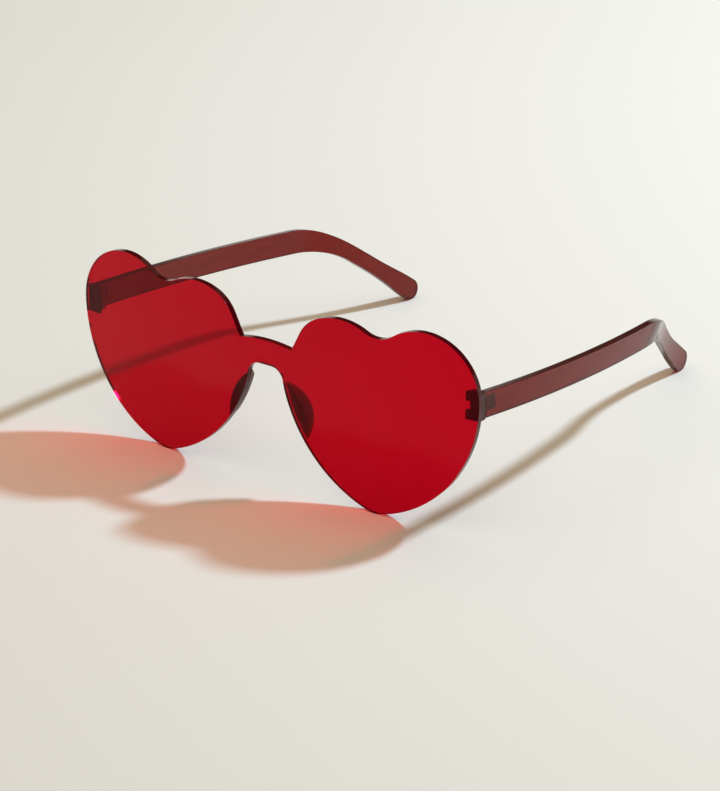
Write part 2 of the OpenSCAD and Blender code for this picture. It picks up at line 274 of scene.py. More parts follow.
def other_side(obj: bpy.types.Object, name: str) -> bpy.types.Object:
    """Copies a piece of the wearer's left to the right, as its mirror image.

    Args:
        obj: The piece on the left.
        name: The new piece's name.

    Returns:
        The piece on the right.
    """
    pick(obj)
    bpy.ops.object.duplicate()
    twin = rename(bpy.context.active_object, name)
    with Editing(twin):
        bpy.ops.transform.resize(value=(-1, 1, 1), center_override=(0, 0, 0))
        bpy.ops.mesh.normals_make_consistent(inside=False)
    return twin


class Pen:
    """Draws an outline in one view as a chain of arcs and lines, with the spin and extrude tools."""

    def __init__(self, name: str, plane: Plane, start: Point, depth: float) -> None:
        """Starts an outline.

        Args:
            name: The name of the object that is made.
            plane: The view that the outline is drawn in.
            start: Its first point.
            depth: Where the view's plane lies.
        """
        self.plane, self.depth, self.at = plane, depth, start
        deselect_all()
        bpy.ops.mesh.primitive_plane_add(size=MM, location=plane.place(start, depth))
        self.obj = placed(name)
        bpy.ops.object.mode_set(mode="EDIT")
        bpy.ops.mesh.select_mode(type="VERT")
        bpy.ops.mesh.select_all(action="SELECT")
        bpy.ops.mesh.merge(type="CENTER")

    def arc(self, centre: Point, end: Point, way: int, step: float = ARC_STEP) -> None:
        """Goes on along an arc.

        Args:
            centre: The arc's centre.
            end: The arc's end.
            way: 1 for anticlockwise, -1 for clockwise.
            step: The largest turn between two points of the arc.
        """
        from_angle = math.atan2(self.at[1] - centre[1], self.at[0] - centre[0])
        to_angle = math.atan2(end[1] - centre[1], end[0] - centre[0])
        turn = (way * (to_angle - from_angle)) % math.tau
        bpy.ops.mesh.spin(
            steps=max(1, math.ceil(turn / step)), angle=-way * turn,
            center=self.plane.place(centre, self.depth), axis=self.plane.value,
        )
        self.at = end

    def line(self, end: Point) -> None:
        """Goes on along a straight line.

        Args:
            end: The line's end.
        """
        way = self.plane.place(end) - self.plane.place(self.at)
        bpy.ops.mesh.extrude_vertices_move(TRANSFORM_OT_translate={"value": way})
        self.at = end

    def lift(self, face: bool = True) -> bpy.types.Object:
        """Ends the outline.

        Args:
            face: Whether the outline is closed and filled.

        Returns:
            The object that holds it.
        """
        bpy.ops.mesh.select_all(action="SELECT")
        bpy.ops.mesh.remove_doubles(threshold=WELD)
        if face:
            bpy.ops.mesh.edge_face_add()
        bpy.ops.object.mode_set(mode="OBJECT")
        return self.obj


def extruded(outline: bpy.types.Object, way: Vector) -> bpy.types.Object:
    """Draws a filled outline out into a solid.

    Args:
        outline: The filled outline.
        way: How far and which way it is drawn.

    Returns:
        The solid.
    """
    with Editing(outline):
        bpy.ops.mesh.extrude_region_move(TRANSFORM_OT_translate={"value": way})
    face_outwards(outline)
    return outline


def raised(line: bpy.types.Object, height: float) -> bpy.types.Object:
    """Draws an open line in plan up into a wall.

    Args:
        line: The line.
        height: The wall's height.

    Returns:
        The wall.
    """
    with Editing(line):
        bpy.ops.mesh.extrude_edges_move(TRANSFORM_OT_translate={"value": (0, 0, height)})
    return line


def sliced(sheet: bpy.types.Object, normal: Vector, pitch: float) -> None:
    """Cuts a flat sheet into strips, so that it can follow a curve.

    Args:
        sheet: The sheet.
        normal: The normal of the cutting planes.
        pitch: The distance between two cuts.
    """
    along = [v.co @ normal for v in sheet.data.vertices]
    first, last = math.ceil(min(along) / pitch), math.floor(max(along) / pitch)
    with Editing(sheet):
        for step in range(first, last + 1):
            bpy.ops.mesh.select_all(action="SELECT")
            bpy.ops.mesh.bisect(plane_co=normal * (step * pitch), plane_no=normal)


def press(sheet: bpy.types.Object, wall: bpy.types.Object, plane: Plane) -> None:
    """Presses a flat sheet on a curved wall, and removes the wall.

    Args:
        sheet: The sheet.
        wall: The wall.
        plane: The view that the sheet was drawn in, which is pressed the way that it looks.
    """
    modify(
        sheet, "SHRINKWRAP", target=wall, wrap_method="PROJECT", use_positive_direction=True,
        use_negative_direction=True,
        **{f"use_project_{axis}": share != 0 for axis, share in zip("xyz", plane.value)},
    )
    bpy.data.objects.remove(wall)


def drum(
    name: str,
    middle: Vector,
    height: float,
    radius: float,
    top: Optional[float] = None,
    turn: tuple[float, float, float] = (0.0, 0.0, 0.0),
    facets: int = 64,
) -> bpy.types.Object:
    """A closed cylinder or a cut cone with its middle at a point.

    Args:
        name: The name of the object that is made.
        middle: The middle of its axis.
        height: Its length along the axis.
        radius: Its radius, at the low end of a cone.
        top: A cone's radius at the high end.
        turn: The turns about x, y and z that bring its axis from upright to its place.
        facets: How many corners its circles have.

    Returns:
        The solid.
    """
    deselect_all()
    bpy.ops.mesh.primitive_cone_add(
        vertices=facets, radius1=radius, radius2=radius if top is None else top, depth=height,
        location=middle, rotation=turn,
    )
    return placed(name)


def slab(name: str, low: Vector, high: Vector) -> bpy.types.Object:
    """A rectangular block.

    Args:
        name: The name of the object that is made.
        low: Its lowest corner.
        high: Its highest corner.

    Returns:
        The solid.
    """
    deselect_all()
    bpy.ops.mesh.primitive_cube_add(size=1, location=(low + high) / 2, scale=high - low)
    return placed(name)


# Finishes


def linear(hex_colour: str) -> tuple[float, float, float]:
    """Turns an sRGB hex colour into linear values."""
    parts = [int(hex_colour[i : i + 2], 16) / 255 for i in (1, 3, 5)]
    return tuple(p / 12.92 if p <= 0.04045 else ((p + 0.055) / 1.055) ** 2.4 for p in parts)


def paint(hex_colour: str, level: float = 1.0) -> tuple[float, float, float, float]:
    """The value of a colour socket: a hex colour, made darker or brighter by a factor."""
    return (*[min(1.0, c * level) for c in linear(hex_colour)], 1.0)


def bare_tree(owner: bpy.types.Material | bpy.types.World) -> bpy.types.NodeTree:
    """Empties the nodes of a new material or world.

    Args:
        owner: The material or world.

    Returns:
        Its node tree.
    """
    owner.use_nodes = True
    owner.node_tree.nodes.clear()
    return owner.node_tree


def add_node(
    tree: bpy.types.NodeTree,
    kind: str,
    inputs: Optional[dict[str | int, object]] = None,
    **settings: object,
) -> bpy.types.Node:
    """Adds a node with its links.

    Args:
        tree: The node tree.
        kind: Blender's name of the node.
        inputs: Values for its input sockets, or the output sockets that are linked to them.
        settings: Its properties.

    Returns:
        The new node.
    """
    node = tree.nodes.new(kind)
    for key, value in settings.items():
        setattr(node, key, value)
    for key, value in (inputs or {}).items():
        if isinstance(value, bpy.types.NodeSocket):
            tree.links.new(value, node.inputs[key])
        else:
            node.inputs[key].default_value = value
    return node


@dataclass(frozen=True)
class ClearPlastic:
    """Clear dyed plastic: light is coloured by its way inside, so edges look darker than faces."""

    name: str
    seen: str  # colour of a white light after it went the depth below
    depth: float
    ior: float
    roughness: float
    mirror: float  # share of the usual mirror reflection where it is seen face on
    wave: float  # height of the slow waves that the mould's flow leaves
    smudge: float  # how much rougher the patches are that handling has rubbed
    body: str  # colour that its two faces alone give to light
    clear: float  # share of the light that goes through
    shade: float  # share of the key light that passes its two faces into the shadow
    flow_and_reflection_streak: float = 0.0  # how much the flow lines darken and brighten the plastic; the brighter lines are partly painted internal reflections
    milled: float = 0.0  # how much rougher a rim is that was milled out of the moulded sheet
    patch_size: float = 9 * MM
    wave_length: float = 14 * MM
    line_across: float = 1.6 * MM
    line_along: float = 40 * MM

    def roughened(self, tree: bpy.types.NodeTree, axes: bpy.types.Node) -> bpy.types.NodeSocket:
        """Makes the polish a little duller in rubbed patches and on a milled rim.

        Args:
            tree: The material's node tree.
            axes: Its texture coordinates.

        Returns:
            The roughness.
        """
        patches = add_node(
            tree,
            "ShaderNodeTexNoise",
            {
                "Vector": axes.outputs["Object"], "Scale": 1 / self.patch_size,
                "Detail": 3.0, "Roughness": 0.55,
            },
        )
        rubbed = add_node(
            tree,
            "ShaderNodeMapRange",
            {
                "Value": patches.outputs["Fac"], "From Min": 0.42, "From Max": 0.72,
                "To Min": self.roughness, "To Max": self.roughness + self.smudge,
            },
        )
        if not self.milled:
            return rubbed.outputs["Result"]
        # the rim looks up, down or sideways, and never to the front or back as the two faces do
        facing = add_node(tree, "ShaderNodeSeparateXYZ", {"Vector": axes.outputs["Normal"]})
        flat = add_node(tree, "ShaderNodeMath", {0: facing.outputs["Y"]}, operation="ABSOLUTE")
        rim = add_node(
            tree,
            "ShaderNodeMapRange",
            {
                "Value": flat.outputs[0], "From Min": 0.35, "From Max": 0.75, "To Min": self.milled,
                "To Max": 0.0,
            },
        )
        both = {0: rubbed.outputs["Result"], 1: rim.outputs["Result"]}
        return add_node(tree, "ShaderNodeMath", both, operation="ADD").outputs[0]

    def waved(self, tree: bpy.types.NodeTree, axes: bpy.types.Node) -> bpy.types.NodeSocket:
        """Bends the reflections along the mould's slow waves.

        Args:
            tree: The material's node tree.
            axes: Its texture coordinates.

        Returns:
            The normal.
        """
        flow = add_node(
            tree,
            "ShaderNodeTexNoise",
            {
                "Vector": axes.outputs["Object"], "Scale": 1 / self.wave_length,
                "Detail": 1.0, "Roughness": 0.4,
            },
        )
        height = {"Height": flow.outputs["Fac"], "Distance": self.wave, "Strength": 1.0}
        return add_node(tree, "ShaderNodeBump", height).outputs["Normal"]

    def flow_and_reflection_streaks(self, tree: bpy.types.NodeTree, axes: bpy.types.Node) -> bpy.types.NodeSocket:
        """Draws the flow lines along the strip, brightened and darkened by turns: partly the plastic's own
        flow lines, partly painted internal reflections.

        Args:
            tree: The material's node tree.
            axes: Its texture coordinates.

        Returns:
            The colour of the plastic's faces, with the painted reflection streaks in it.
        """
        pitch = (1 / self.line_across, 1 / self.line_along, 1 / self.line_across)
        strip = add_node(tree, "ShaderNodeMapping", {"Vector": axes.outputs["Object"], "Scale": pitch})
        fine = {"Vector": strip.outputs[0], "Scale": 1.0, "Detail": 2.0}
        flow_and_reflection_lines = add_node(tree, "ShaderNodeTexNoise", fine)
        # the brighter lines stand in for internal reflections along the strip: painted light, not only the
        # plastic's own colour
        tint = add_node(
            tree,
            "ShaderNodeMix",
            {
                "Factor": flow_and_reflection_lines.outputs["Fac"], "A": paint(self.body, 1 - self.flow_and_reflection_streak),
                "B": paint(self.body, 1 + self.flow_and_reflection_streak),
            },
            data_type="RGBA",
        )
        return tint.outputs["Result"]

    def make(self) -> bpy.types.Material:
        """Builds the material.

        Returns:
            The material, with its dye in the volume.
        """
        mat = bpy.data.materials.new(self.name)
        tree = bare_tree(mat)
        axes = add_node(tree, "ShaderNodeTexCoord")
        body = add_node(
            tree,
            "ShaderNodeBsdfPrincipled",
            {
                "Base Color": self.flow_and_reflection_streaks(tree, axes) if self.flow_and_reflection_streak else paint(self.body),
                "Roughness": self.roughened(tree, axes), "IOR": self.ior,
                "Transmission Weight": self.clear,
                "Specular Tint": (self.mirror, self.mirror, self.mirror, 1),
                "Normal": self.waved(tree, axes),
            },
        )
        # a shadow ray passes the two faces straight, and the dye between them colours it
        light = add_node(tree, "ShaderNodeLightPath")
        face = [math.sqrt(self.shade * c) for c in linear(self.body)]
        passed = add_node(tree, "ShaderNodeBsdfTransparent", {"Color": (*face, 1)})
        surface = add_node(
            tree, "ShaderNodeMixShader",
            {0: light.outputs["Is Shadow Ray"], 1: body.outputs[0], 2: passed.outputs[0]},
        )
        loss = [-math.log(max(c, 1e-4)) / self.depth for c in linear(self.seen)]
        dye = add_node(
            tree, "ShaderNodeVolumeAbsorption",
            {"Color": (*[1 - x / max(loss) for x in loss], 1), "Density": max(loss)},
        )
        ends = {"Surface": surface.outputs[0], "Volume": dye.outputs[0]}
        add_node(tree, "ShaderNodeOutputMaterial", ends)
        return mat


@dataclass(frozen=True)
class PlatedSteel:
    """Nickel plated steel, stamped or turned and then tumbled: satin, with fine marks and rubs."""

    name: str
    colour: str
    roughness: float
    mark_pitch: float  # distance between two tool marks
    mark_depth: float = 0.006 * MM
    rub_size: float = 0.6 * MM

    def make(self) -> bpy.types.Material:
        """Builds the material.

        Returns:
            The material.
        """
        mat = bpy.data.materials.new(self.name)
        tree = bare_tree(mat)
        place = add_node(tree, "ShaderNodeTexCoord").outputs["Object"]
        # tool marks are far finer than this on the real hinge; they are drawn coarse enough to show
        marks = add_node(
            tree,
            "ShaderNodeTexWave",
            {
                "Vector": place, "Scale": 1 / (self.mark_pitch * math.tau), "Distortion": 1.2,
                "Detail": 2.0, "Detail Scale": 1.5,
            },
            bands_direction="Z",
        )
        fine = {"Vector": place, "Scale": 1 / self.rub_size, "Detail": 4.0}
        rubs = add_node(tree, "ShaderNodeTexNoise", fine)
        rough = add_node(
            tree,
            "ShaderNodeMapRange",
            {
                "Value": rubs.outputs["Fac"], "From Min": 0.3, "From Max": 0.7,
                "To Min": self.roughness * 0.75, "To Max": self.roughness * 1.35,
            },
        )
        shade = add_node(
            tree, "ShaderNodeMix",
            {"Factor": rubs.outputs["Fac"], "A": paint(self.colour, 0.8), "B": paint(self.colour, 1.15)},
            data_type="RGBA",
        )
        bump = add_node(
            tree, "ShaderNodeBump",
            {"Height": marks.outputs["Fac"], "Distance": self.mark_depth, "Strength": 0.8},
        )
        body = add_node(
            tree,
            "ShaderNodeBsdfPrincipled",
            {
                "Base Color": shade.outputs["Result"], "Metallic": 1.0,
                "Roughness": rough.outputs["Result"], "Normal": bump.outputs["Normal"],
            },
        )
        add_node(tree, "ShaderNodeOutputMaterial", {"Surface": body.outputs[0]})
        return mat


Finish = ClearPlastic | PlatedSteel

# Polycarbonate, moulded and polished: deep clear red, with dark rims where light has a long way inside
SHIELD_RED = ClearPlastic(
    name="polycarbonate_red_polished", seen="#cc3a80", depth=2.2 * MM, ior=1.5, roughness=0.012,
    mirror=0.04, wave=0.0008 * MM, smudge=0.012, body="#f41440", clear=0.95, shade=0.72, milled=0.03,
)
# Cellulose propionate, moulded: red-brown strips that mirror the room, with faint flow lines that are
# partly painted internal reflections
TEMPLE_BROWN = ClearPlastic(
    name="propionate_red_brown_moulded", seen="#94463c", depth=2.4 * MM, ior=1.48, roughness=0.06,
    mirror=0.4, wave=0.003 * MM, smudge=0.05, body="#cc5e50", clear=0.92, shade=0.18, flow_and_reflection_streak=0.3,
)
# The same plastic with more dye: the wedges behind the hearts look almost black where they are thick
WEDGE_BROWN = ClearPlastic(
    name="propionate_dark_wedge", seen="#2e0c0a", depth=1.6 * MM, ior=1.48, roughness=0.07, mirror=0.6,
    wave=0.003 * MM, smudge=0.05, body="#c86258", clear=0.92, shade=0.2,
)
# The pads' plastic, moulded with a fine matt face: dark at the foot, and red at the rim where it is thin
PAD_BROWN = ClearPlastic(
    name="propionate_dark_pad", seen="#6c1c16", depth=2.0 * MM, ior=1.36, roughness=0.42, mirror=0.4,
    wave=0.004 * MM, smudge=0.08, body="#d89088", clear=0.92, shade=0.2,
)
# Mild steel, stamped, nickel plated and tumbled: satin and grey, with soft rubs
HINGE_STEEL = PlatedSteel("steel_hinge_tumbled", "#77767a", 0.32, 0.14 * MM)
# The same steel, turned: a little brighter, with rings round its axis
SCREW_STEEL = PlatedSteel("steel_screw_turned", "#a9a9ad", 0.22, 0.09 * MM)


@dataclass
class Workshop:
    """Keeps the materials that were made, and dresses finished pieces."""

    materials: dict[str, bpy.types.Material] = field(default_factory=dict)
    node_body: dict[str, str] = field(init=False)

    def __post_init__(self) -> None:
        """Notes which body each CAD node rides on."""
        bodies = frame["record"]["behaviour"]["bodies"]
        self.node_body = {node: body for body, nodes in bodies.items() for node in nodes}

    def material(self, finish: Finish) -> bpy.types.Material:
        """Finds the material of a finish, or makes it.

        Args:
            finish: The finish.

        Returns:
            Its one material.
        """
        if finish.name not in self.materials:
            self.materials[finish.name] = finish.make()
        return self.materials[finish.name]

    def dress(self, obj: bpy.types.Object, node: str, finish: Finish) -> None:
        """Gives a piece its finish, its body and the CAD node that it stands for.

        Args:
            obj: The finished piece.
            node: The CAD node that it replaces.
            finish: Its finish.
        """
        smooth(obj)
        obj.data.materials.clear()
        obj.data.materials.append(self.material(finish))
        off = [round((got - want).length / MM, 2) for got, want in zip(corners(obj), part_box(node))]
        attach(obj, self.node_body[node])
        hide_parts(node)
        faces = len(obj.data.polygons)
        LOG.info("%s stands for %s, %d faces, corners %s mm from the node's", obj.name, node, faces, off)

    def pair(self, obj: bpy.types.Object, name: str, node: str, finish: Finish) -> None:
        """Dresses a piece of the wearer's left and its mirror image.

        Args:
            obj: The finished piece on the left.
            name: The name of the two pieces, without their side.
            node: The name of the two CAD nodes, without their side.
            finish: Their finish.
        """
        twin = other_side(obj, f"{name}_{Side.RIGHT.value}")
        rename(obj, f"{name}_{Side.LEFT.value}")
        for side, piece in ((Side.LEFT, obj), (Side.RIGHT, twin)):
            self.dress(piece, f"{node}_{side.value}", finish)


# Plane geometry


def heading(angle: float) -> Vector:
    """The direction at an angle from u towards v."""
    return Vector((math.cos(angle), math.sin(angle)))


def left_of(way: Vector) -> Vector:
    """The direction on the left of a way in a view."""
    return Vector((-way.y, way.x))


def unit(way: Vector) -> Vector:
    """A way's direction."""
    return way.normalized()


def meet(c1: Vector, r1: float, c2: Vector, r2: float) -> Vector:
    """Crosses two circles.

    Args:
        c1: The first circle's centre.
        r1: Its radius.
        c2: The second circle's centre.
        r2: Its radius.

    Returns:
        The crossing on the left of the way from the first centre to the second.
    """
    way = c2 - c1
    along = (r1 * r1 - r2 * r2 + way.length_squared) / (2 * way.length)
    return c1 + along * unit(way) + math.sqrt(r1 * r1 - along * along) * left_of(unit(way))


def touch(start: Vector, centre: Vector, radius: float) -> Vector:
    """Lays a line from a point against a circle.

    Args:
        start: The point.
        centre: The circle's centre.
        radius: Its radius.

    Returns:
        Where it touches, on the circle's left as seen from the point.
    """
    way = centre - start
    reach = math.sqrt(way.length_squared - radius * radius)
    return start + reach / way.length * (reach * unit(way) + radius * left_of(unit(way)))


def ease(share: float) -> float:
    """A smooth way from 0 to 1."""
    return share * share * (3 - 2 * share)


# The tinted shield


@dataclass
class LensShield:
    """One curved, tinted sheet with both hearts and the bridge."""

    thickness: float = 2 * MM
    wrap_r: float = 700 * MM
    lean: float = math.radians(2.4)
    inner_lobe: Point = (26.8 * MM, 36.3 * MM)
    inner_lobe_r: float = 20.5 * MM
    shoulder_r: float = 12.4 * MM
    shoulder_angle: float = math.radians(112)
    cleft_r: float = 9.2 * MM
    outer_lobe: Point = (55.7 * MM, 40.6 * MM)
    outer_lobe_r: float = 18.3 * MM
    tip_x: float = 39.8 * MM
    tip_r: float = 8.9 * MM
    outer_flank_r: float = 42 * MM
    inner_flank_r: float = 45.7 * MM
    bridge_top_z: float = 44.4 * MM
    bridge_top_r: float = 51 * MM
    bridge_half_w: float = 9.6 * MM
    arch_top_z: float = 36.8 * MM
    arch_corner_r: float = 4.4 * MM
    bond_gap: float = 0.05 * MM  # the glue behind the shield
    rim_round: float = 0.18 * MM
    rim_facets: int = 3
    cut_pitch: float = 2.5 * MM
    wall_half_w: float = 80 * MM
    wall_low: float = -10 * MM
    wall_h: float = 90 * MM
    wall_step: float = math.radians(0.0821)  # about 1 mm of the wrap
    sheet_y: float = -20 * MM  # where the flat sheet lies before it is pressed
    place: Vector = field(default_factory=Vector)

    def inner_flank(self) -> Vector:
        """The centre of the arc that the nose pad follows."""
        lobe_reach, tip_reach = self.inner_flank_r - self.inner_lobe_r, self.inner_flank_r - self.tip_r
        return meet(Vector(self.inner_lobe), lobe_reach, Vector((self.tip_x, self.tip_r)), tip_reach)

    def sag(self, x: float) -> float:
        """How far the front face lies behind its foremost line at a distance from the middle."""
        return self.wrap_r - math.sqrt(self.wrap_r**2 - x * x)

    def put(self, obj: bpy.types.Object) -> None:
        """Leans a piece that was built in the shield's own plane, and puts it in its place."""
        turn_about_x(obj, -self.lean)
        shift(obj, self.place)

    def rear_plane(self, x: float) -> tuple[Vector, Vector]:
        """The plane behind the rear face and its glue, at a distance from the middle.

        Args:
            x: The distance.

        Returns:
            A point of the plane and its normal, away from the shield.
        """
        rear = self.wrap_r - self.thickness
        angle = math.asin(x / rear)
        lean = Matrix.Rotation(-self.lean, 3, "X")
        normal = lean @ Vector((-math.sin(angle), math.cos(angle), 0))
        point = lean @ Vector((x, self.wrap_r - rear * math.cos(angle), 0)) + self.place
        return point + self.bond_gap * normal, normal

    def half_outline(self) -> list[tuple[Optional[Vector], Vector, int]]:
        """The outline of one half, from the nose arch round one heart to the middle of the bridge.

        Returns:
            Centre, end and way of each arc; a straight line has no centre.
        """
        inner, outer = Vector(self.inner_lobe), Vector(self.outer_lobe)
        tip = Vector((self.tip_x, self.tip_r))
        inner_r, outer_r, tip_r = self.inner_lobe_r, self.outer_lobe_r, self.tip_r
        cleft = meet(inner, inner_r + self.cleft_r, outer, outer_r + self.cleft_r)
        flank_out = meet(tip, self.outer_flank_r - tip_r, outer, self.outer_flank_r - outer_r)
        flank_in = self.inner_flank()
        up = heading(self.shoulder_angle)
        shoulder = inner + (inner_r - self.shoulder_r) * up
        top = Vector((0, self.bridge_top_z - self.bridge_top_r))
        rise = math.sqrt(self.bridge_top_r**2 - self.bridge_half_w**2)
        corner = top + Vector((self.bridge_half_w, rise))
        base = self.arch_top_z - self.arch_corner_r
        reach, drop = inner_r + self.arch_corner_r, inner.y - base
        arch = Vector((inner.x - math.sqrt(reach * reach - drop * drop), base))
        return [
            (None, Vector((arch.x, self.arch_top_z)), 0),
            (arch, inner + inner_r * unit(arch - inner), -1),
            (inner, inner + inner_r * unit(inner - flank_in), 1),
            (flank_in, tip + tip_r * unit(tip - flank_in), 1),
            (tip, tip + tip_r * unit(tip - flank_out), 1),
            (flank_out, outer + outer_r * unit(outer - flank_out), 1),
            (outer, outer + outer_r * unit(cleft - outer), 1),
            (cleft, inner + inner_r * unit(cleft - inner), -1),
            (inner, inner + inner_r * up, 1),
            (shoulder, touch(corner, shoulder, self.shoulder_r), 1),
            (None, corner, 0),
            (top, Vector((0, self.bridge_top_z)), 1),
        ]

    def wall(self) -> bpy.types.Object:
        """Spins the curved wall that the sheet is pressed on round the axis of the wrap.

        Returns:
            The wall.
        """
        back = self.sag(self.wall_half_w)
        pen = Pen("wrap_wall", Plane.PLAN, (-self.wall_half_w, back), self.wall_low)
        pen.arc((0, self.wrap_r), (self.wall_half_w, back), 1, self.wall_step)
        return raised(pen.lift(face=False), self.wall_h)

    def build(self) -> bpy.types.Object:
        """Draws the outline, presses it on the wall and gives it its thickness and its polished rim.

        Returns:
            The shield, in its place.
        """
        pen = Pen("tinted_shield", Plane.FRONT, (0.0, self.arch_top_z), self.sheet_y)
        for centre, end, way in self.half_outline():
            if centre is None:
                pen.line(end)
            else:
                pen.arc(centre, end, way)
        sheet = pen.lift(face=False)
        modify(sheet, "MIRROR", use_axis=(True, False, False), use_mirror_merge=True, merge_threshold=WELD)
        with Editing(sheet):
            bpy.ops.mesh.edge_face_add()
        sliced(sheet, Vector((1, 0, 0)), self.cut_pitch)
        press(sheet, self.wall(), Plane.FRONT)
        with Editing(sheet) as edit:
            bpy.ops.mesh.normals_make_consistent(inside=False)
            if edit.choose(lambda face: face.normal.y > 0):
                bpy.ops.mesh.flip_normals()
        modify(sheet, "SOLIDIFY", thickness=self.thickness, offset=-1, use_even_offset=True)
        face_outwards(sheet)
        round_edges(sheet, self.rim_round, self.rim_facets)
        turn_about_x(sheet, -self.lean)
        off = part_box("lens_shield")[0] - corners(sheet)[0]
        self.place = Vector((0, off.y, off.z))
        shift(sheet, self.place)
        return sheet


# What is glued behind the shield


@dataclass
class NosePad:
    """A small pad along the edge of the shield, with a foot and a bearing face that turns outward."""

    shield: LensShield
    length: float = 19 * MM
    width: float = 3.7 * MM
    depth: float = 4.4 * MM
    foot_depth: float = 2.4 * MM
    foot_flare: float = math.radians(12)
    flare: float = math.radians(49)
    mid_z: float = 24.2 * MM
    inset: float = 0.1 * MM
    grain: float = 0.16 * MM
    melt_passes: int = 6
    body_facets: int = 900
    tool_facets: int = 256

    def turned_body(self, flank: Vector, edge: float, end_y: float) -> bpy.types.Object:
        """Turns foot and bearing face as one round body, of which the pad is a small part.

        Args:
            flank: The centre of the flank that the pad follows, in the front view.
            edge: The radius at the end of the foot.
            end_y: Where the foot ends.

        Returns:
            The body.
        """
        middle = Vector((flank.x, end_y - self.depth / 2, flank.y))
        foot = edge + self.depth * math.tan(self.foot_flare)
        body = drum("nose_pad", middle, self.depth, foot, edge, BACK, self.body_facets)
        less = 1 - self.depth * math.tan(self.flare) / edge
        with Editing(body) as edit:
            edit.choose(lambda face: face.normal.y > 0.99)
            bpy.ops.mesh.extrude_region_move(TRANSFORM_OT_translate={"value": (0, self.depth, 0)})
            bpy.ops.transform.resize(value=(less, 1, less), center_override=(flank.x, end_y, flank.y))
        return body

    def build(self) -> bpy.types.Object:
        """Keeps what two round tools share with the turned body, and melts its edges.

        Returns:
            The left pad, in its place.
        """
        flank = self.shield.inner_flank()
        root = self.shield.inner_flank_r - self.inset
        drop = self.mid_z - flank.y
        out = Vector((-math.sqrt(root * root - drop * drop), drop)) / root
        spot = flank + root * out
        front = self.shield.sag(spot.x) + self.shield.thickness
        edge = root - self.foot_depth * math.tan(self.foot_flare)
        pad = self.turned_body(flank, edge, front + self.foot_depth)
        half = self.length / 2
        rim_r = (half * half + self.depth**2) / (2 * self.depth)
        rim_at = Plane.FRONT.place(spot, front + self.depth - rim_r)
        along = (0.0, math.atan2(out.x, out.y), 0.0)
        rise = self.width - root + math.sqrt(root * root - half * half)
        side_r = (half * half + rise * rise) / (2 * rise)
        side_at = Plane.FRONT.place(spot + (side_r - self.width) * out, front)
        for tool in (
            drum("pad_rim", rim_at, 2 * self.length, rim_r, None, along, self.tool_facets),
            drum("pad_side", side_at, 4 * self.depth, side_r, None, BACK, self.tool_facets),
        ):
            combine(pad, tool, Cut.KEEP)
        self.shield.put(pad)
        cut_off(pad, *self.shield.rear_plane(spot.x))
        melt(pad, self.grain, self.melt_passes)
        return pad


def hinge_place() -> Vector:
    """The middle of the left hinge, on its axis."""
    return Vector(next(j for j in frame["joints"] if j["name"] == "left_temple_fold")["pos_m"])


def round_hinge(name: str, radius: float, low: float, high: float, facets: int = 64) -> bpy.types.Object:
    """A cylinder round the left hinge's axis.

    Args:
        name: The name of the object that is made.
        radius: Its radius.
        low: The height of its lower end.
        high: The height of its upper end.
        facets: How many corners its circles have.

    Returns:
        The cylinder.
    """
    hinge = hinge_place()
    return drum(name, Vector((hinge.x, hinge.y, (low + high) / 2)), high - low, radius, facets=facets)


@dataclass
class EndPiece:
    """A wedge behind the outer lobe that carries the hinge, with a notch for the temple's barrel."""

    shield: LensShield
    foot_w: float = 4.8 * MM
    depth: float = 1.8 * MM
    foot_rim: float = 0.9 * MM
    joint_w: float = 2.45 * MM
    notch_depth: float = 1.6 * MM
    notch_h: float = 2.8 * MM
    notch_r: float = 1.3 * MM
    barrel_pocket_r: float = 1.15 * MM
    barrel_room: float = 0.05 * MM  # air under the lowest barrel
    head_pocket_r: float = 1.2 * MM
    edge_round: float = 0.22 * MM
    edge_facets: int = 3

    def build(self) -> bpy.types.Object:
        """Draws the wedge in plan, cuts its pockets and rounds its edges.

        Returns:
            The left end piece, in its place.
        """
        low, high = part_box("endpiece_left")
        mid = hinge_place().z
        half = self.notch_h / 2
        foot_x, joint_x = high.x - self.foot_w, high.x - self.joint_w
        front_y = high.y - self.depth
        start_y = front_y - self.depth
        foot_y = front_y + self.foot_rim - self.shield.sag(high.x) + self.shield.sag(foot_x)
        pen = Pen("end_wedge", Plane.PLAN, (high.x, start_y), low.z)
        for point in ((high.x, high.y), (joint_x, high.y), (foot_x, foot_y), (foot_x, start_y)):
            pen.line(point)
        wedge = extruded(pen.lift(), Vector((0, 0, high.z - low.z)))
        cut_off(wedge, *self.shield.rear_plane(high.x - self.foot_w / 2))
        notch = slab(
            "notch", Vector((foot_x - self.foot_w, start_y, mid - half)),
            Vector((foot_x + self.notch_depth, high.y + self.depth, mid + half)),
        )
        combine(wedge, notch, Cut.TAKE)
        stack_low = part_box("front_hinge_leaf_left")[0].z - self.barrel_room
        for name, radius, under, over in (
            ("notch_round", self.notch_r, mid - half, mid + half),
            ("head_pocket", self.head_pocket_r, mid, high.z + self.depth),
            ("barrel_seat", self.barrel_pocket_r, stack_low, mid),
        ):
            combine(wedge, round_hinge(name, radius, under, over), Cut.TAKE)
        face_outwards(wedge)
        round_edges(wedge, self.edge_round, self.edge_facets)
        return wedge


# The hinges


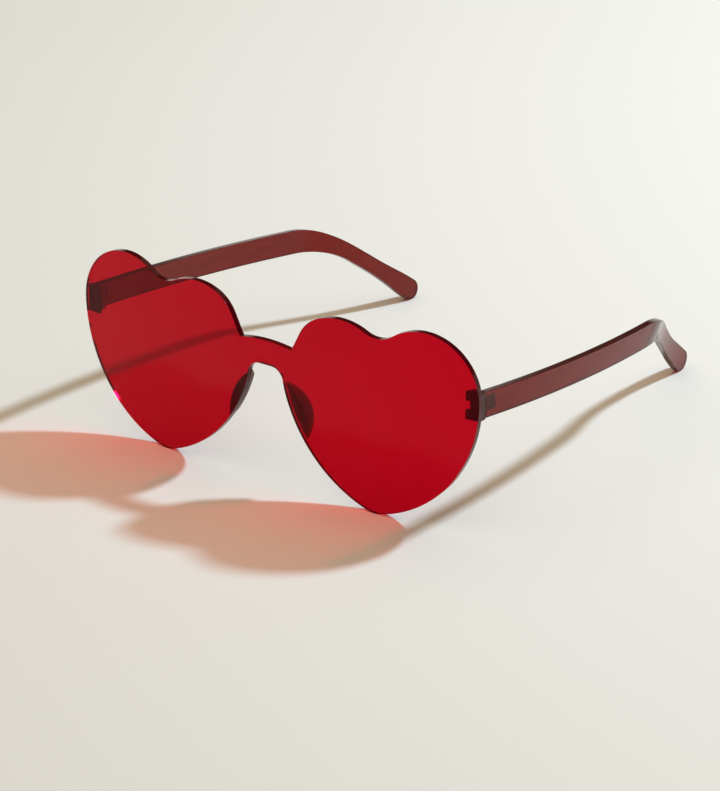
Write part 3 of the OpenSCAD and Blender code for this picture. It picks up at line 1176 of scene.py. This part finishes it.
@dataclass
class Hinge:
    """Two stamped and rolled leaves with three barrels, and the screw that holds them."""

    barrel_r: float = 1.1 * MM
    bore_r: float = 0.65 * MM
    bore_l: float = 20 * MM
    outer_barrel_h: float = 2.0 * MM
    mid_barrel_h: float = 2.6 * MM
    barrel_gap: float = 0.1 * MM
    leaf_t: float = 0.7 * MM
    leaf_l: float = 4.8 * MM
    leaf_edge: float = 0.1 * MM
    head_r: float = 1.0 * MM
    head_h: float = 0.6 * MM
    dome_r: float = 0.25 * MM
    dome_facets: int = 4
    shank_r: float = 0.6 * MM
    slot_w: float = 0.4 * MM
    slot_depth: float = 0.3 * MM
    screw_edge: float = 0.05 * MM
    edge_facets: int = 2
    bore_facets: int = 48

    def bored(self, leaf: bpy.types.Object) -> bpy.types.Object:
        """Drills a leaf's barrels and breaks its edges.

        Args:
            leaf: The leaf.

        Returns:
            The finished leaf.
        """
        mid, half = hinge_place().z, self.bore_l / 2
        combine(leaf, round_hinge("bore", self.bore_r, mid - half, mid + half, self.bore_facets), Cut.TAKE)
        face_outwards(leaf)
        round_edges(leaf, self.leaf_edge, self.edge_facets)
        return leaf

    def front_leaf(self) -> bpy.types.Object:
        """Makes the leaf with two barrels that is moulded into the end piece.

        Returns:
            The left front leaf, in its place.
        """
        low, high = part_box("front_hinge_leaf_left")
        hinge = hinge_place()
        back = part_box("endpiece_left")[1].y - self.leaf_t / 2
        start = Vector((hinge.x, back - self.leaf_t, low.z))
        leaf = slab("front_leaf", start, Vector((high.x, back, high.z)))
        half = self.mid_barrel_h / 2 + self.barrel_gap
        room_r = self.barrel_r + 2 * self.barrel_gap
        combine(leaf, round_hinge("leaf_room", room_r, hinge.z - half, hinge.z + half), Cut.TAKE)
        for under, over in ((low.z, low.z + self.outer_barrel_h), (high.z - self.outer_barrel_h, high.z)):
            combine(leaf, round_hinge("barrel", self.barrel_r, under, over), Cut.ADD)
        return self.bored(leaf)

    def temple_leaf(self) -> bpy.types.Object:
        """Makes the leaf with one barrel that is moulded into the temple.

        Returns:
            The left temple leaf, in its place.
        """
        low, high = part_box("temple_hinge_leaf_left")
        hinge = hinge_place()
        front = high.y - self.leaf_l
        under, over = hinge.z - self.mid_barrel_h / 2, hinge.z + self.mid_barrel_h / 2
        leaf = slab("temple_leaf", Vector((high.x - self.leaf_t, front, low.z)), high)
        web = slab("web", Vector((hinge.x, front, under)), Vector((high.x, front + self.leaf_t, over)))
        combine(leaf, web, Cut.ADD)
        combine(leaf, round_hinge("barrel", self.barrel_r, under, over), Cut.ADD)
        return self.bored(leaf)

    def screw(self) -> bpy.types.Object:
        """Makes the screw, with a domed and slotted head.

        Returns:
            The left screw, in its place.
        """
        low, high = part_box("hinge_screw_left")
        hinge = hinge_place()
        screw = round_hinge("screw", self.shank_r, low.z, high.z - self.head_h / 2, self.bore_facets)
        head = round_hinge("head", self.head_r, high.z - self.head_h, high.z)
        round_edges(head, self.dome_r, self.dome_facets)
        combine(screw, head, Cut.ADD)
        half = Vector((2 * self.head_r, self.slot_w / 2, self.slot_depth))
        middle = Vector((hinge.x, hinge.y, high.z))
        combine(screw, slab("slot", middle - half, middle + half), Cut.TAKE)
        face_outwards(screw)
        round_edges(screw, self.screw_edge, self.edge_facets)
        return screw


# The temples


@dataclass
class Temple:
    """A strip with a bend behind the ear and a round tip, bowed inward."""

    thickness: float = 2.2 * MM
    front_h: float = 7.7 * MM
    bend_h: float = 7.6 * MM
    neck_h: float = 5.2 * MM
    tip_r: float = 3.5 * MM
    run: float = 89.5 * MM
    bend_r: float = 38.5 * MM
    run_slope: float = math.radians(6.1)
    drop_slope: float = math.radians(39.5)
    bow_r: float = 291 * MM
    bow_start: float = math.radians(4.6)
    tuck_r: float = 34 * MM
    tuck_angle: float = math.radians(16)
    flare_r: float = 127 * MM
    neck_share: float = 0.32  # share of the drop's length at which the neck begins to swell to the tip
    rim_round: float = 0.4 * MM
    rim_facets: int = 3
    cut_pitch: float = 1.5 * MM
    bend_steps: int = 16
    swell_steps: int = 14
    wall_lead: float = math.radians(4)
    wall_tail: float = math.radians(28)
    wall_h: float = 300 * MM
    bow_step: float = math.radians(0.2)
    tuck_step: float = math.radians(1.0)
    flare_step: float = math.radians(0.4)
    strip_x: float = 110 * MM  # where the flat strip lies before it is pressed

    def start(self) -> tuple[Vector, float]:
        """The middle of the temple's front face in the side view, and its x."""
        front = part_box("temple_left")[0].y
        return Vector((front, hinge_place().z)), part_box("endpiece_left")[1].x - self.thickness / 2

    def edges(self) -> tuple[list[Vector], list[Vector], Vector]:
        """The strip's two long edges in the side view.

        Returns:
            The points of the upper edge, those of the lower edge, and the centre of the round tip.
        """
        begin, _ = self.start()
        turn = self.drop_slope - self.run_slope
        along, down = heading(-self.run_slope), heading(-self.drop_slope)
        centre = begin + self.run * along - self.bend_r * left_of(along)
        bend_to = centre + self.bend_r * left_of(down)
        length = (bend_to.y - self.tip_r) / math.sin(self.drop_slope)
        rows = []
        for side in (1, -1):
            points = [begin + Vector((0, side * self.front_h / 2))]
            for step in range(self.bend_steps + 1):
                share = step / self.bend_steps
                half = (self.bend_h + (self.neck_h - self.bend_h) * ease(share)) / 2
                out = left_of(heading(-self.run_slope - turn * share))
                points.append(centre + (self.bend_r + side * half) * out)
            for step in range(self.swell_steps + 1):
                swell = step / self.swell_steps
                half = self.neck_h / 2 + (self.tip_r - self.neck_h / 2) * ease(swell)
                share = self.neck_share + (1 - self.neck_share) * swell
                points.append(bend_to + share * length * down + side * half * left_of(down))
            rows.append(points)
        return rows[0], rows[1], bend_to + length * down

    def wall(self) -> bpy.types.Object:
        """Makes the wall that the strip is pressed on, in bow, tuck and flare, square to the drop.

        Returns:
            The wall.
        """
        begin, x = self.start()
        bow = Vector((x, 0)) - self.bow_r * heading(-self.bow_start)
        bow_end = self.run * math.cos(self.drop_slope - self.run_slope)
        tuck_from = math.asin((bow_end - bow.y) / self.bow_r)
        tuck = bow + (self.bow_r - self.tuck_r) * heading(tuck_from)
        flare_from = tuck_from + self.tuck_angle
        flare = tuck + (self.tuck_r + self.flare_r) * heading(flare_from)
        first = bow + self.bow_r * heading(-self.bow_start - self.wall_lead)
        pen = Pen("temple_wall", Plane.PLAN, first, -self.wall_h / 2)
        pen.arc(bow, bow + self.bow_r * heading(tuck_from), 1, self.bow_step)
        pen.arc(tuck, tuck + self.tuck_r * heading(flare_from), 1, self.tuck_step)
        pen.arc(flare, flare - self.flare_r * heading(flare_from - self.wall_tail), -1, self.flare_step)
        wall = raised(pen.lift(face=False), self.wall_h)
        turn_about_x(wall, -self.drop_slope)
        shift(wall, Vector((0, begin.x, begin.y)))
        return wall

    def build(self) -> bpy.types.Object:
        """Draws the side view, presses it on the bowed wall and gives it its thickness and soft edges.

        Returns:
            The left temple, in its place.
        """
        upper, lower, tip = self.edges()
        pen = Pen("temple_strip", Plane.SIDE, upper[0], self.strip_x)
        for point in upper[1:]:
            pen.line(point)
        pen.arc(tip, lower[-1], -1)
        for point in reversed(lower[:-1]):
            pen.line(point)
        strip = pen.lift()
        sliced(strip, Plane.SIDE.place(heading(-self.drop_slope)), self.cut_pitch)
        press(strip, self.wall(), Plane.SIDE)
        modify(strip, "SOLIDIFY", thickness=self.thickness, offset=0, use_even_offset=True)
        face_outwards(strip)
        round_edges(strip, self.rim_round, self.rim_facets)
        return strip


# The studio


@dataclass
class Studio:
    """A pale paper floor, one soft lamp, the light of a room and the camera of the main view."""

    floor_w: float = 12.0
    floor_colour: str = "#e7e7e5"
    far_colour: str = "#e9e8e0"
    fade: tuple[float, float] = (0.45, 1.0)  # where the far colour begins, and where it is full
    grain: float = 0.9 * MM
    grain_h: float = 0.01 * MM
    camera_at: tuple[float, float, float] = (0.555034, -0.726364, 0.397599)
    camera_right: tuple[float, float, float] = (0.7886402, 0.6145154, -0.0204289)
    camera_up: tuple[float, float, float] = (-0.2291847, 0.3246314, 0.9176540)
    lens: float = 145.627
    clip: tuple[float, float] = (0.05, 20.0)
    key_from: tuple[float, float, float] = (0.55, 0.84, 1.0)
    key_far: float = 1.4
    key_size: float = 0.13
    key_energy: float = 17.7
    key_colour: str = "#e3f2ff"
    # degrees above the horizon, colour and level of the room's light
    bands: tuple[tuple[float, str, float], ...] = (
        (7.5, "#e9e8e0", 1.0), (13, "#9a8874", 0.16), (37, "#9a8874", 0.16), (46, "#ebd7b6", 1.0),
        (85, "#ebd7b6", 1.06),
    )

    def camera(self) -> None:
        """Stands the camera at the photograph's place."""
        data = bpy.data.cameras.new("camera")
        data.lens = self.lens
        data.clip_start, data.clip_end = self.clip
        cam = bpy.data.objects.new("camera", data)
        right, up = unit(Vector(self.camera_right)), unit(Vector(self.camera_up))
        turn = Matrix((right, up, unit(right.cross(up)))).transposed().to_4x4()
        cam.matrix_world = Matrix.Translation(self.camera_at) @ turn
        bpy.context.scene.collection.objects.link(cam)
        bpy.context.scene.camera = cam

    def paper(self) -> bpy.types.Material:
        """Makes the floor's paper, which is seen as bright far away as it is near, up to the horizon.

        Returns:
            The material.
        """
        mat = bpy.data.materials.new("matt_paper_cream")
        tree = bare_tree(mat)
        place = add_node(tree, "ShaderNodeTexCoord").outputs["Object"]
        fine = {"Vector": place, "Scale": 1 / self.grain, "Detail": 2.0}
        grain = add_node(tree, "ShaderNodeTexNoise", fine)
        height = {"Height": grain.outputs["Fac"], "Distance": self.grain_h, "Strength": 0.4}
        bump = add_node(tree, "ShaderNodeBump", height)
        near = add_node(
            tree, "ShaderNodeBsdfDiffuse",
            {"Color": paint(self.floor_colour), "Normal": bump.outputs["Normal"]},
        )
        away = add_node(tree, "ShaderNodeVectorMath", {0: place}, operation="LENGTH")
        begins, full = self.fade
        span = {"Value": away.outputs["Value"], "From Min": begins, "From Max": full}
        faded = add_node(tree, "ShaderNodeMapRange", span)
        light = add_node(tree, "ShaderNodeLightPath")
        seen = light.outputs["Is Camera Ray"]
        for ray in ("Is Glossy Ray", "Is Transmission Ray"):
            either = {0: seen, 1: light.outputs[ray]}
            seen = add_node(tree, "ShaderNodeMath", either, operation="MAXIMUM").outputs[0]
        both = {0: seen, 1: faded.outputs["Result"]}
        share = add_node(tree, "ShaderNodeMath", both, operation="MULTIPLY")
        far = add_node(tree, "ShaderNodeEmission", {"Color": paint(self.far_colour), "Strength": 1.0})
        parts = {0: share.outputs[0], 1: near.outputs[0], 2: far.outputs[0]}
        mix = add_node(tree, "ShaderNodeMixShader", parts)
        add_node(tree, "ShaderNodeOutputMaterial", {"Surface": mix.outputs[0]})
        return mat

    def floor(self) -> None:
        """Lays the floor."""
        deselect_all()
        bpy.ops.mesh.primitive_plane_add(size=self.floor_w, location=(0, 0, 0))
        ground = rename(bpy.context.active_object, "studio_floor")
        ground.data.materials.append(self.paper())

    def lamp(self) -> None:
        """Hangs the one soft lamp behind the object, so that the shadows fall towards the camera."""
        way = unit(Vector(self.key_from))
        data = bpy.data.lights.new("key", "AREA")
        data.shape = "DISK"
        data.size = self.key_size
        data.energy = self.key_energy
        data.color = linear(self.key_colour)
        key = bpy.data.objects.new("key", data)
        turn = way.to_track_quat("Z", "Y").to_matrix().to_4x4()
        key.matrix_world = Matrix.Translation(way * self.key_far) @ turn
        bpy.context.scene.collection.objects.link(key)

    def room(self) -> None:
        """Surrounds the floor with a room: a pale strip low down, darker walls and a pale ceiling."""
        world = bpy.data.worlds.new("room")
        tree = bare_tree(world)
        way = add_node(tree, "ShaderNodeTexCoord")
        height = add_node(tree, "ShaderNodeSeparateXYZ", {"Vector": way.outputs["Generated"]})
        ramp = add_node(tree, "ShaderNodeValToRGB", {"Fac": height.outputs["Z"]})
        stops = ramp.color_ramp.elements
        for rise, colour, level in self.bands[1:-1]:
            stops.new(math.sin(math.radians(rise))).color = paint(colour, level)
        for end, (rise, colour, level) in ((0, self.bands[0]), (len(stops) - 1, self.bands[-1])):
            stops[end].position = math.sin(math.radians(rise))
            stops[end].color = paint(colour, level)
        light = add_node(tree, "ShaderNodeBackground", {"Color": ramp.outputs["Color"], "Strength": 1.0})
        add_node(tree, "ShaderNodeOutputWorld", {"Surface": light.outputs[0]})
        bpy.context.scene.world = world

    def build(self) -> None:
        """Sets the whole studio up."""
        bpy.context.scene.view_settings.view_transform = "Standard"
        self.camera()
        self.floor()
        self.lamp()
        self.room()


def main() -> None:
    """Builds every sub-assembly in order."""
    logging.basicConfig(level=logging.INFO, format="%(name)s: %(message)s")
    Studio().build()
    shop = Workshop()
    shield, hinge = LensShield(), Hinge()
    shop.dress(shield.build(), "lens_shield", SHIELD_RED)
    shop.pair(NosePad(shield).build(), "soft_edged_pad", "nose_pad", PAD_BROWN)
    shop.pair(EndPiece(shield).build(), "hinge_wedge", "endpiece", WEDGE_BROWN)
    shop.pair(hinge.front_leaf(), "two_barrel_leaf", "front_hinge_leaf", HINGE_STEEL)
    shop.pair(hinge.temple_leaf(), "one_barrel_leaf", "temple_hinge_leaf", HINGE_STEEL)
    shop.pair(hinge.screw(), "slotted_screw", "hinge_screw", SCREW_STEEL)
    shop.pair(Temple().build(), "temple_strip", "temple", TEMPLE_BROWN)


if __name__ == "__main__":
    main()
